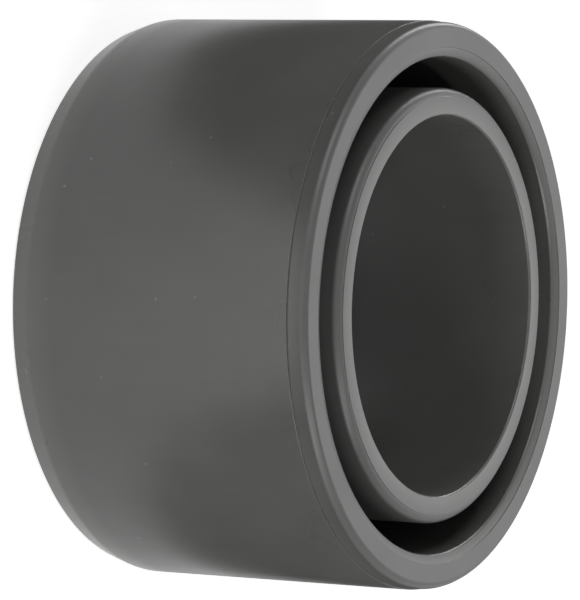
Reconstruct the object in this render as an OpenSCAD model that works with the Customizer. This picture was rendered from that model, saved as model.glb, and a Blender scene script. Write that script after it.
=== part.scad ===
// Short reducing coupling in PVC-U: a spigot outside and a socket inside.
// The fitting is one injection moulding, drawn here as one half section that
// is turned round the axis. The section is cut at the moulding's own walls,
// so each wall is a node and the walls meet face to face.
// The axis is +Z, out of the socket, and the rear face lies at z = 0.

/* [Spigot] */
// Outer diameter of the spigot, which a larger socket takes
spigot_d = 75; // [62:1:110]
// Length of the fitting, from its rear face to its rim
body_l = 44; // [36:1:70]
// Thickness of the spigot's wall
shell_wall = 4.8; // [3:0.1:8]
// Lead-in chamfer at the rear, along the axis
lead_l = 3; // [1:0.5:5]
// Lead-in chamfer at the rear, across the wall
lead_w = 1; // [0.5:0.1:2]

/* [Rim] */
// Distance of the mould's parting line behind the rim's face
parting_l = 2.6; // [2:0.1:6]
// Depth of the furrow along the parting line, below the rim's side
furrow = 0.15; // [0.05:0.05:0.3]
// Draft of the wall between the parting line and the rim, across the wall
band_fall = 0.1; // [0.05:0.05:0.3]
// Rounding of the rim's outer edge
rim_round = 1; // [0.5:0.1:1.5]
// Width of the sloping lip inside the rim's flat face
lip_w = 1.3; // [0.5:0.1:1.8]
// Fall of the lip towards the groove
lip_fall = 0.4; // [0.1:0.1:1]

/* [Socket] */
// Outer diameter of the pipe that the socket takes
pipe_d = 50; // [40:1:60]
// Radial clearance round the pipe, filled by solvent cement
cement_gap = 0.05; // [0.05:0.05:0.3]
// Depth of the socket, from its mouth to the pipe stop
socket_l = 31; // [20:1:37]
// Thickness of the socket's wall
sleeve_wall = 3.6; // [2:0.1:6]
// Chamfer at the socket's mouth
mouth_c = 0.2; // [0.1:0.1:0.8]
// Rounding of the sleeve's outer edge at the mouth
mouth_round = 1.1; // [0.5:0.1:1.1]

/* [Web and pipe stop] */
// Thickness of the web behind the groove
web_t = 6.5; // [4:0.5:12]
// Fillet at the bottom of the groove
root_fillet = 1.5; // [0.5:0.1:2]
// Width of the shoulder that stops the pipe
stop_w = 3.6; // [2:0.1:6]
// Chamfer where the flow passage meets the rear face
entry_c = 1.5; // [0.5:0.1:2.5]

/* [Mould] */
// Narrowest groove that a steel core can make; a smaller gap is left solid
core_min = 1.5; // [1:0.1:3]
// Step that the joint between two mould parts leaves on a surface
witness_step = 0.1; // [0.05:0.05:0.2]

/* [Hidden] */
$fn = 180;

moulded_grey = "#5c5c5b";
over = 1;
fillet_share = 0.4;

spigot_r = spigot_d / 2;
socket_r = pipe_d / 2 + cement_gap;
sleeve_r = socket_r + sleeve_wall;
flow_r = socket_r - stop_w;
neck_l = body_l - socket_l;

// The groove is there only where both walls leave room for its core.
groove_open = spigot_r - shell_wall - sleeve_r >= core_min;
shell_in_r = groove_open ? spigot_r - shell_wall : sleeve_r;
groove_w = shell_in_r - sleeve_r;
groove_mid_r = sleeve_r + groove_w / 2;
fillet_r = min(root_fillet, groove_w * fillet_share);

// A rectangle of the half section, given by its radii and heights
module slab(r_lo, r_hi, z_lo, z_hi) {
    translate([r_lo, z_lo])
        square([r_hi - r_lo, z_hi - z_lo]);
}

// What the moulding would be with no socket and no groove. Ahead of the
// parting line and its furrow the wall is one witness step smaller, and it
// tapers by its draft up to the rim's rounding.
module outline() {
    band_r = spigot_r - witness_step;
    round_r = band_r - band_fall;
    polygon([
        [flow_r + entry_c, 0],
        [spigot_r - lead_w, 0],
        [spigot_r, lead_l],
        [spigot_r, body_l - parting_l],
        [band_r - furrow, body_l - parting_l],
        [band_r, body_l - parting_l + furrow],
        [round_r, body_l - rim_round],
        [round_r - rim_round, body_l - rim_round],
        [round_r - rim_round, body_l],
        [flow_r, body_l],
        [flow_r, entry_c]
    ]);
    translate([round_r - rim_round, body_l - rim_round])
        circle(rim_round);
}

// The socket and the chamfer at its mouth
module socket_cut() {
    polygon([
        [flow_r - over, neck_l],
        [socket_r, neck_l],
        [socket_r, body_l - mouth_c],
        [socket_r + mouth_c + over, body_l + over],
        [flow_r - over, body_l + over]
    ]);
}

// The groove between the two walls, with a fillet along each bottom corner
module slot_cut() {
    difference() {
        slab(sleeve_r, shell_in_r, web_t, body_l + over);
        corner(sleeve_r, 1);
        corner(shell_in_r, -1);
    }
}

// The fillet that stands in a bottom corner of the groove; side is 1 where
// the groove lies outside the radius wall_r, and -1 where it lies inside it
module corner(wall_r, side) {
    translate([wall_r, web_t])
        mirror([side < 0 ? 1 : 0, 0])
            difference() {
                translate([-over, -over])
                    square(over + fillet_r);
                translate([fillet_r, fillet_r])
                    circle(fillet_r);
            }
}

// The lip that slopes from the rim's face down to the groove
module lip_cut() {
    lip_top = body_l - witness_step;
    polygon([
        [groove_mid_r, lip_top - lip_fall],
        [shell_in_r, lip_top - lip_fall],
        [shell_in_r + lip_w, lip_top],
        [shell_in_r + lip_w, body_l + over],
        [groove_mid_r, body_l + over]
    ]);
}

// The rounding of the sleeve's outer edge, a step below its face
module mouth_cut() {
    centre_z = body_l - witness_step - mouth_round;
    difference() {
        slab(sleeve_r - mouth_round, groove_mid_r, centre_z, body_l + over);
        translate([sleeve_r - mouth_round, centre_z])
            circle(mouth_round);
    }
}

// The half section of the whole moulding
module section() {
    difference() {
        outline();
        socket_cut();
        if (groove_open) {
            slot_cut();
            lip_cut();
            mouth_cut();
        }
    }
}

// Where the web lies: from the neck's wall out to the spigot's surface
module web_zone() {
    slab(sleeve_r, spigot_r + over, -over, web_t);
}

// Where the sleeve and the neck lie: everything inside the groove
module inner_zone() {
    difference() {
        slab(0, groove_mid_r, -over, body_l + over);
        web_zone();
    }
}

// Outer wall with the surface that is cemented into the larger socket
module spigot_shell() {
    color(moulded_grey)
        rotate_extrude()
            intersection() {
                section();
                slab(groove_mid_r, spigot_r + over, web_t, body_l + over);
            }
}

// Ring at the rear that joins the outer wall to the neck
module end_web() {
    color(moulded_grey)
        rotate_extrude()
            intersection() {
                section();
                web_zone();
            }
}

// Narrow passage behind the socket; the pipe's end stops on its front face
module stop_neck() {
    color(moulded_grey)
        rotate_extrude()
            intersection() {
                section();
                inner_zone();
                slab(0, spigot_r, -over, neck_l);
            }
}

// Inner wall that holds the smaller pipe
module socket_sleeve() {
    color(moulded_grey)
        rotate_extrude()
            intersection() {
                section();
                inner_zone();
                slab(0, spigot_r, neck_l, body_l + over);
            }
}

spigot_shell();
end_web();
stop_neck();
socket_sleeve();
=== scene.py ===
# %% [markdown]
# # A short reducing coupling in dark grey PVC-U
# This script dresses a moulded pipe fitting for its portrait. The fitting is one
# injection moulding with two round walls: the outer one is a spigot that is cemented
# into a large socket, and the inner one is a socket for a smaller pipe. A deep groove
# between them saves plastic.
#
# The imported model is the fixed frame: it says where each wall is and how big it is.
# Everything below is in metres, in that same frame, with +Z along the pipe's axis.

# %% Load the frame
import math

import bmesh
import bpy
from mathutils import Matrix, Vector


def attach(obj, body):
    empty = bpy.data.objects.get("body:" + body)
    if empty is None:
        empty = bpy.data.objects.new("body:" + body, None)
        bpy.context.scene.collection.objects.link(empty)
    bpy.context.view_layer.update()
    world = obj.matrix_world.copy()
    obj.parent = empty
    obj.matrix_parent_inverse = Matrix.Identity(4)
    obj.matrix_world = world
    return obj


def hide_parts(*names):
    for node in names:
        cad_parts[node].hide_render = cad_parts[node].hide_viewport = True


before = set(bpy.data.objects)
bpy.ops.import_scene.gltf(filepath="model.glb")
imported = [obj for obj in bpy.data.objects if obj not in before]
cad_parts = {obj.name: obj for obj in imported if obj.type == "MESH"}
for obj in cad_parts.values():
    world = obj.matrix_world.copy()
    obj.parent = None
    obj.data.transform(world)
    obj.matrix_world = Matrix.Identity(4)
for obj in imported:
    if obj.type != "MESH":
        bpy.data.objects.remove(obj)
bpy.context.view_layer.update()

MM = 0.001
scene = bpy.context.scene
print("walls:", sorted(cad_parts))

# %% [markdown]
# ## Camera
# A product portrait of a small fitting is shot from well back with a long lens, which
# keeps the two rims nearly concentric and the sides nearly parallel. The pipe's axis
# lies across the picture, so the camera is rolled by a quarter turn and a little more,
# and looks at a point on the axis. Angles and a distance are enough to place it, and a
# photographer would name the same ones.

# %% Place the camera
AXIS_TO_SIGHT = math.radians(60.4)
AXIS_DROP = math.radians(2.2)
CAMERA_DISTANCE = 0.612
LENS_MM = 274
SENSOR_MM = 36
AIM_HEIGHT = 20.6 * MM


def aim(target, tilt, distance, drop):
    """Matrix of a camera in the plane x = 0 whose picture has +Z on its right, dropped by an angle."""
    back = Vector((0, -math.sin(tilt), math.cos(tilt)))
    right = Vector((0, math.cos(tilt), math.sin(tilt)))
    up = back.cross(right)
    axes = Matrix((right, up, back)).transposed().to_4x4()
    return Matrix.Translation(target + back * distance) @ axes @ Matrix.Rotation(drop, 4, "Z")


camera_data = bpy.data.cameras.new("portrait_lens")
camera_data.lens = LENS_MM
camera_data.sensor_width = SENSOR_MM
camera_data.clip_start = 0.05
camera_data.clip_end = 20
camera = bpy.data.objects.new("portrait_camera", camera_data)
scene.collection.objects.link(camera)
camera.matrix_world = aim(Vector((0, 0, AIM_HEIGHT)), AXIS_TO_SIGHT, CAMERA_DISTANCE, AXIS_DROP)
scene.camera = camera
print("camera at", [round(c, 4) for c in camera.matrix_world.translation])

# %% [markdown]
# ## Half sections
# Every wall is a body of revolution, so its whole shape is in its half section: the
# outline that a saw would show on one side of the axis. It could be drawn again here
# point by point, but the frame already holds it. A plane through the axis cuts a merged
# copy of each wall, and only the cut is kept, on the side where x is positive. The
# dissolve then takes out the points that lie on straight stretches.

# %% Cut each wall to its half section
MERGE = 0.001 * MM
STRAIGHT = math.radians(0.2)


def half_section(node):
    """The outline of a wall's section at y = 0, as a bmesh of edges."""
    bm = bmesh.new()
    bm.from_mesh(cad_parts[node].data)
    bmesh.ops.remove_doubles(bm, verts=bm.verts, dist=MERGE)
    everything = bm.verts[:] + bm.edges[:] + bm.faces[:]
    bmesh.ops.bisect_plane(bm, geom=everything, dist=MERGE / 10, plane_co=(0, 0, 0),
                           plane_no=(0, 1, 0), clear_inner=True, clear_outer=True)
    bmesh.ops.delete(bm, geom=bm.faces[:], context="FACES_ONLY")
    bmesh.ops.delete(bm, geom=[v for v in bm.verts if v.co.x < 0], context="VERTS")
    bmesh.ops.remove_doubles(bm, verts=bm.verts, dist=MERGE)
    bmesh.ops.dissolve_limit(bm, angle_limit=STRAIGHT, verts=bm.verts, edges=bm.edges)
    return bm


sections = {node: half_section(node) for node in sorted(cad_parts)}
for node, bm in sections.items():
    print(node, "section has", len(bm.verts), "corners")

# %% [markdown]
# ## Seams and corners
# The four walls are one moulding, so where two of them meet there is nothing to see.
# A corner that touches a neighbour's section is such a seam and stays as it is. Every
# other corner is a real edge, and no moulded edge is perfectly sharp: the steel is
# polished, and the part is tumbled, handled and rubbed. Each gets a small round, which
# is what catches the light along a rim, smaller where the edges beside it are short.

# %% Tell seams from real corners
TOUCH = 0.002 * MM


def lies_on(point, edge):
    """True if a point of a half section lies on an edge of another one."""
    a, b = (v.co for v in edge.verts)
    along = b - a
    share = max(0.0, min(1.0, (point - a).dot(along) / along.length_squared))
    return (a + along * share - point).length < TOUCH


def is_seam(node, corner):
    others = (bm for name, bm in sections.items() if name != node)
    return any(lies_on(corner.co, edge) for bm in others for edge in bm.edges)


def turn(corner):
    """How sharply the outline turns at a corner, in radians."""
    a, b = (edge.other_vert(corner).co - corner.co for edge in corner.link_edges)
    return math.pi - a.angle(b)


# %% Round the real corners
SHARP = math.radians(15)
EDGE_ROUND = 0.35 * MM
ROUND_STEPS = 5
ROOM_SHARE = 0.45


def soften(node, bm):
    """Rounds the real corners of a half section, and marks the points on those rounds, where the skin is
    painted paler, partly for rub wear and partly as a painted highlight.
    """
    rounded_corners = []
    for corner in [v for v in bm.verts if turn(v) > SHARP and not is_seam(node, v)]:
        size = min(EDGE_ROUND, ROOM_SHARE * min(edge.calc_length() for edge in corner.link_edges))
        rounded_corners.append((corner.co.copy(), size))
        bmesh.ops.bevel(bm, geom=[corner], offset=size, offset_type="OFFSET", segments=ROUND_STEPS,
                        profile=0.5, affect="VERTICES", material=-1, clamp_overlap=True)
    # Points on a round get 1: the skin there is painted paler, partly as rub wear and partly as a painted
    # highlight along the edge.
    rubbed_and_highlit = bm.verts.layers.float.new("rubbed_and_highlit")
    for v in bm.verts:
        v[rubbed_and_highlit] = max(((v.co - at).length < size for at, size in rounded_corners), default=0.0)
    return rounded_corners


for node, bm in sections.items():
    bmesh.ops.contextual_create(bm, geom=bm.edges[:])
    rounded_corners = soften(node, bm)
    print(node, "has", len(rounded_corners), "rounded corners and", len(bm.verts), "points")

# %% [markdown]
# ## Turning the sections
# The mould's cavities were turned on a lathe, and the same move makes the meshes: each
# half section is spun once round the axis. The steps are so many that no flats show
# along the silhouette, and all four walls take the same number, so their points meet
# along the seams. The weighted normals keep flat faces flat beside the small rounds.

# %% Spin the walls
TURN_STEPS = 288
CREASE = math.radians(32)


def turn_wall(node, bm):
    """Spins a half section into a closed wall that stands for its node in the frame."""
    bmesh.ops.delete(bm, geom=bm.faces[:], context="FACES_ONLY")
    bmesh.ops.spin(bm, geom=bm.verts[:] + bm.edges[:], cent=(0, 0, 0), axis=(0, 0, 1),
                   angle=math.tau, steps=TURN_STEPS, use_merge=True, use_duplicate=False)
    bmesh.ops.remove_doubles(bm, verts=bm.verts, dist=MERGE)
    bmesh.ops.recalc_face_normals(bm, faces=bm.faces)
    volume = bm.calc_volume(signed=True)
    closed = all(edge.is_manifold for edge in bm.edges)
    mesh = bpy.data.meshes.new(node + "_moulded")
    bm.to_mesh(mesh)
    bm.free()
    mesh.shade_smooth()
    mesh.set_sharp_from_angle(angle=CREASE)
    wall = bpy.data.objects.new(node + "_moulded", mesh)
    scene.collection.objects.link(wall)
    normals = wall.modifiers.new("flat_faces_stay_flat", "WEIGHTED_NORMAL")
    normals.keep_sharp = True
    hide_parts(node)
    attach(wall, "root")
    print(f"{node}: {volume * 1e9:.0f} mm3, closed {closed}, {len(mesh.polygons)} faces")
    return wall


walls = {node: turn_wall(node, bm) for node, bm in sections.items()}

# %% [markdown]
# ## Finish: injection-moulded PVC-U
# Pressure fittings are moulded in unplasticised PVC, dyed through in a dark neutral
# grey. The steel was polished and then lightly blasted, so the skin is satin: it shows
# soft broad highlights and no mirror image. Close up it has a fine grain, faint streaks
# where the melt ran along the wall, a slow drift of tone, and the dust and rub marks
# that a part picks up in its box. Where the skin turns round an edge it is rubbed and
# glossier, and it is painted a little paler there, partly for that wear and partly as a
# painted highlight along the edge. All of it is noise on Object coordinates,
# with each scale worked out from a size in millimetres.

# %% Helpers for colours and nodes
def linear(code):
    """A colour written as sRGB hex, as the linear RGBA that the shader takes."""
    channels = [int(code[i:i + 2], 16) / 255 for i in (1, 3, 5)]
    return [c / 12.92 if c <= 0.04045 else ((c + 0.055) / 1.055) ** 2.4 for c in channels] + [1.0]


def add(tree, kind, settings=(), inputs=()):
    """Adds a node with its settings; an input is a value, or a socket of another node to link from."""
    node = tree.nodes.new(kind)
    for name, value in dict(settings).items():
        setattr(node, name, value)
    for name, value in dict(inputs).items():
        if isinstance(value, bpy.types.NodeSocket):
            tree.links.new(value, node.inputs[name])
        else:
            node.inputs[name].default_value = value
    return node


def per_mm(size):
    """The scale of a texture whose features are to be so many millimetres wide."""
    return 1 / (size * MM)


# %% The moulded skin
GREY = linear("#616160")
# A paler grey for the rounded edges: partly rub wear, partly a painted highlight.
GREY_RUBBED_AND_HIGHLIT = linear("#6c6c6a")
DUST = linear("#8e8d8a")
DRIFT_MM, FLOW_MM, FLOW_LENGTH, GRAIN_MM, DUST_MM = 11, 1.6, 6, 0.4, 3.5


def moulded_pvc(name, roughness, grain_height, dust):
    """Satin PVC-U; dust is the share of cells that hold a speck."""
    material = bpy.data.materials.new(name)
    material.use_nodes = True
    tree = material.node_tree
    shader = tree.nodes["Principled BSDF"]
    place = add(tree, "ShaderNodeTexCoord").outputs["Object"]

    drift = add(tree, "ShaderNodeTexNoise", inputs={
        "Vector": place, "Scale": per_mm(DRIFT_MM), "Detail": 3.0, "Roughness": 0.5})
    along = add(tree, "ShaderNodeMapping", inputs={
        "Vector": place, "Scale": (per_mm(FLOW_MM), per_mm(FLOW_MM), per_mm(FLOW_MM * FLOW_LENGTH))})
    flow = add(tree, "ShaderNodeTexNoise", inputs={
        "Vector": along.outputs["Vector"], "Scale": 1.0, "Detail": 2.0, "Roughness": 0.5})
    grain = add(tree, "ShaderNodeTexNoise", inputs={
        "Vector": place, "Scale": per_mm(GRAIN_MM), "Detail": 3.0, "Roughness": 0.7})
    specks = add(tree, "ShaderNodeTexVoronoi", {"feature": "F1"}, {
        "Vector": place, "Scale": per_mm(DUST_MM), "Randomness": 1.0})
    edges = add(tree, "ShaderNodeAttribute", {"attribute_name": "rubbed_and_highlit"})

    tone = add(tree, "ShaderNodeMapRange", inputs={
        "Value": drift.outputs["Fac"], "From Min": 0.3, "From Max": 0.7, "To Min": 0.95, "To Max": 1.05})
    stripe = add(tree, "ShaderNodeMapRange", inputs={
        "Value": flow.outputs["Fac"], "From Min": 0.3, "From Max": 0.7, "To Min": 0.98, "To Max": 1.02})
    shade = add(tree, "ShaderNodeMath", {"operation": "MULTIPLY"}, {
        0: tone.outputs["Result"], 1: stripe.outputs["Result"]})
    # The rounded edges take the paler grey, which is rub wear and painted highlight in one.
    skin = add(tree, "ShaderNodeMix", {"data_type": "RGBA"}, {
        "Factor": edges.outputs["Fac"], 6: GREY, 7: GREY_RUBBED_AND_HIGHLIT})
    toned = add(tree, "ShaderNodeVectorMath", {"operation": "SCALE"}, {
        0: skin.outputs[2], "Scale": shade.outputs["Value"]})

    near = add(tree, "ShaderNodeMapRange", inputs={
        "Value": specks.outputs["Distance"], "From Min": 0.02, "From Max": 0.09, "To Min": 0.8, "To Max": 0.0})
    cell = add(tree, "ShaderNodeSeparateColor", inputs={"Color": specks.outputs["Color"]})
    chosen = add(tree, "ShaderNodeMath", {"operation": "LESS_THAN"}, {0: cell.outputs["Red"], 1: dust})
    speck = add(tree, "ShaderNodeMath", {"operation": "MULTIPLY"}, {
        0: near.outputs["Result"], 1: chosen.outputs["Value"]})
    dusty = add(tree, "ShaderNodeMix", {"data_type": "RGBA"}, {
        "Factor": speck.outputs["Value"], 6: toned.outputs["Vector"], 7: DUST})
    tree.links.new(dusty.outputs[2], shader.inputs["Base Color"])

    gloss = add(tree, "ShaderNodeMapRange", inputs={
        "Value": drift.outputs["Fac"], "From Min": 0.3, "From Max": 0.7,
        "To Min": roughness - 0.03, "To Max": roughness + 0.03})
    polished = add(tree, "ShaderNodeMath", {"operation": "MULTIPLY_ADD"}, {
        0: edges.outputs["Fac"], 1: -0.10, 2: gloss.outputs["Result"]})
    tree.links.new(polished.outputs["Value"], shader.inputs["Roughness"])
    shader.inputs["IOR"].default_value = 1.53

    bump = add(tree, "ShaderNodeBump", inputs={
        "Strength": 1.0, "Distance": grain_height * MM, "Height": grain.outputs["Fac"]})
    tree.links.new(bump.outputs["Normal"], shader.inputs["Normal"])
    return material


satin = moulded_pvc("pvc_u_blasted_cavity_satin", roughness=0.38, grain_height=0.008, dust=0.3)
for wall in walls.values():
    wall.data.materials.append(satin)

# %% [markdown]
# ## Floor
# The fitting stands on its rear face on a plain white sweep. Paper that is lit from the
# front comes out white in a studio, but so much light would also wash out the fitting.
# So the paper has a glow of its own, which only the camera and mirror images see, and
# the soft shadow of the fitting is still laid over it.

# %% Floor
FLOOR_SIZE = 6.0
FLOOR_GLOW = 0.75
FLOOR_DROP = 0.2 * MM
PAPER = linear("#ececec")


def seen_directly(tree):
    """1 for a ray that comes from the camera, a mirror image or a clear body, and 0 for all others."""
    ray = add(tree, "ShaderNodeLightPath").outputs
    seen = add(tree, "ShaderNodeMath", {"operation": "MAXIMUM"}, {
        0: ray["Is Camera Ray"], 1: ray["Is Glossy Ray"]})
    return add(tree, "ShaderNodeMath", {"operation": "MAXIMUM"}, {
        0: seen.outputs["Value"], 1: ray["Is Transmission Ray"]}).outputs["Value"]


bpy.ops.mesh.primitive_plane_add(size=FLOOR_SIZE, location=(0, 0, -FLOOR_DROP))
floor = bpy.context.object
floor.name = "studio_floor"
paper = bpy.data.materials.new("matt_white_paper")
paper.use_nodes = True
paper_shader = paper.node_tree.nodes["Principled BSDF"]
paper_shader.inputs["Base Color"].default_value = PAPER
paper_shader.inputs["Roughness"].default_value = 0.9
glow = add(paper.node_tree, "ShaderNodeMath", {"operation": "MULTIPLY"}, {
    0: seen_directly(paper.node_tree), 1: FLOOR_GLOW})
paper_shader.inputs["Emission Color"].default_value = (1, 1, 1, 1)
paper.node_tree.links.new(glow.outputs["Value"], paper_shader.inputs["Emission Strength"])
floor.data.materials.append(paper)

# %% [markdown]
# ## Painted shade in the wall's reflections
# A satin wall that is seen at a grazing angle mirrors the white paper beside it, and its
# outline would fade into the background. Beside a real fitting that floor lies in shade,
# so black cards are laid on the paper just outside the picture as painted shade, and the
# wall mirrors those and its edges stay dark. They show in mirror images only: they take
# no light from the fitting and cast no shadow.

# %% Painted shade cards beside the fitting
CARD_SIZE = (0.25, 0.5)
CARD_GAP = 52 * MM
CARD_LIFT = 0.1 * MM
SHADE_CARD_BLACK = linear("#0c0c0c")

shade_card_material = bpy.data.materials.new("painted_shade_card")
shade_card_material.use_nodes = True
card_shader = shade_card_material.node_tree.nodes["Principled BSDF"]
card_shader.inputs["Base Color"].default_value = SHADE_CARD_BLACK
card_shader.inputs["Roughness"].default_value = 0.9
# Both cards are painted shade: only mirror images see them.
for side, name in ((-1, "shade_card_above"), (1, "shade_card_below")):
    bpy.ops.mesh.primitive_plane_add(size=1, location=(side * (CARD_GAP + CARD_SIZE[0] / 2), 0, CARD_LIFT))
    card = bpy.context.object
    card.name = name
    card.scale = (*CARD_SIZE, 1)
    card.visible_camera = card.visible_shadow = card.visible_diffuse = False
    card.data.materials.append(shade_card_material)

# %% [markdown]
# ## Light
# The softboxes stand in a ring round the fitting, each at a bearing and a height above
# the floor. The one on the far side faces the flat rims through the mirror angle and
# makes them the brightest part, while the wall of the bore that faces the camera stays
# dark. A strip on the floor behind grazes the top of the outer wall, and the others
# fill the near side, from above, from the rim's low end and from beside the camera.

# %% Lights
LIGHT_DISTANCE = 0.8


def softbox(name, bearing, height, size, watts):
    """A rectangular panel that faces the fitting; its bearing is counted from +X to +Y, in degrees."""
    data = bpy.data.lights.new(name, "AREA")
    data.shape = "RECTANGLE"
    data.size, data.size_y = size
    data.energy = watts
    panel = bpy.data.objects.new(name, data)
    scene.collection.objects.link(panel)
    level, turned = math.radians(height), math.radians(bearing)
    flat = math.cos(level)
    away = Vector((flat * math.cos(turned), flat * math.sin(turned), math.sin(level)))
    panel.location = Vector((0, 0, AIM_HEIGHT)) + away * LIGHT_DISTANCE
    panel.rotation_euler = away.to_track_quat("Z", "Y").to_euler()
    return panel


softbox("far_softbox", 95, 35, (0.5, 0.4), 0.75)
softbox("floor_strip_behind", 135, 5, (0.5, 0.13), 1.5)
softbox("high_near_panel", 210, 28, (0.35, 0.35), 1.2)
softbox("low_end_panel", 325, 28, (0.35, 0.35), 1.5)
softbox("low_end_strip", 315, 5, (0.5, 0.13), 0.6)
softbox("camera_side_strip", 270, 5, (0.5, 0.13), 0.4)
softbox("rim_glint", 343, 60, (0.08, 0.08), 0.6)

world = bpy.data.worlds.new("white_room")
scene.world = world
world.use_nodes = True
tree = world.node_tree
tree.nodes.clear()
AMBIENT = 0.02
room = add(tree, "ShaderNodeMapRange", inputs={
    "Value": seen_directly(tree), "To Min": AMBIENT, "To Max": 1.0})
air = add(tree, "ShaderNodeBackground", inputs={"Color": (1, 1, 1, 1), "Strength": room.outputs["Result"]})
add(tree, "ShaderNodeOutputWorld", inputs={"Surface": air.outputs["Background"]})
scene.view_settings.view_transform = "Standard"
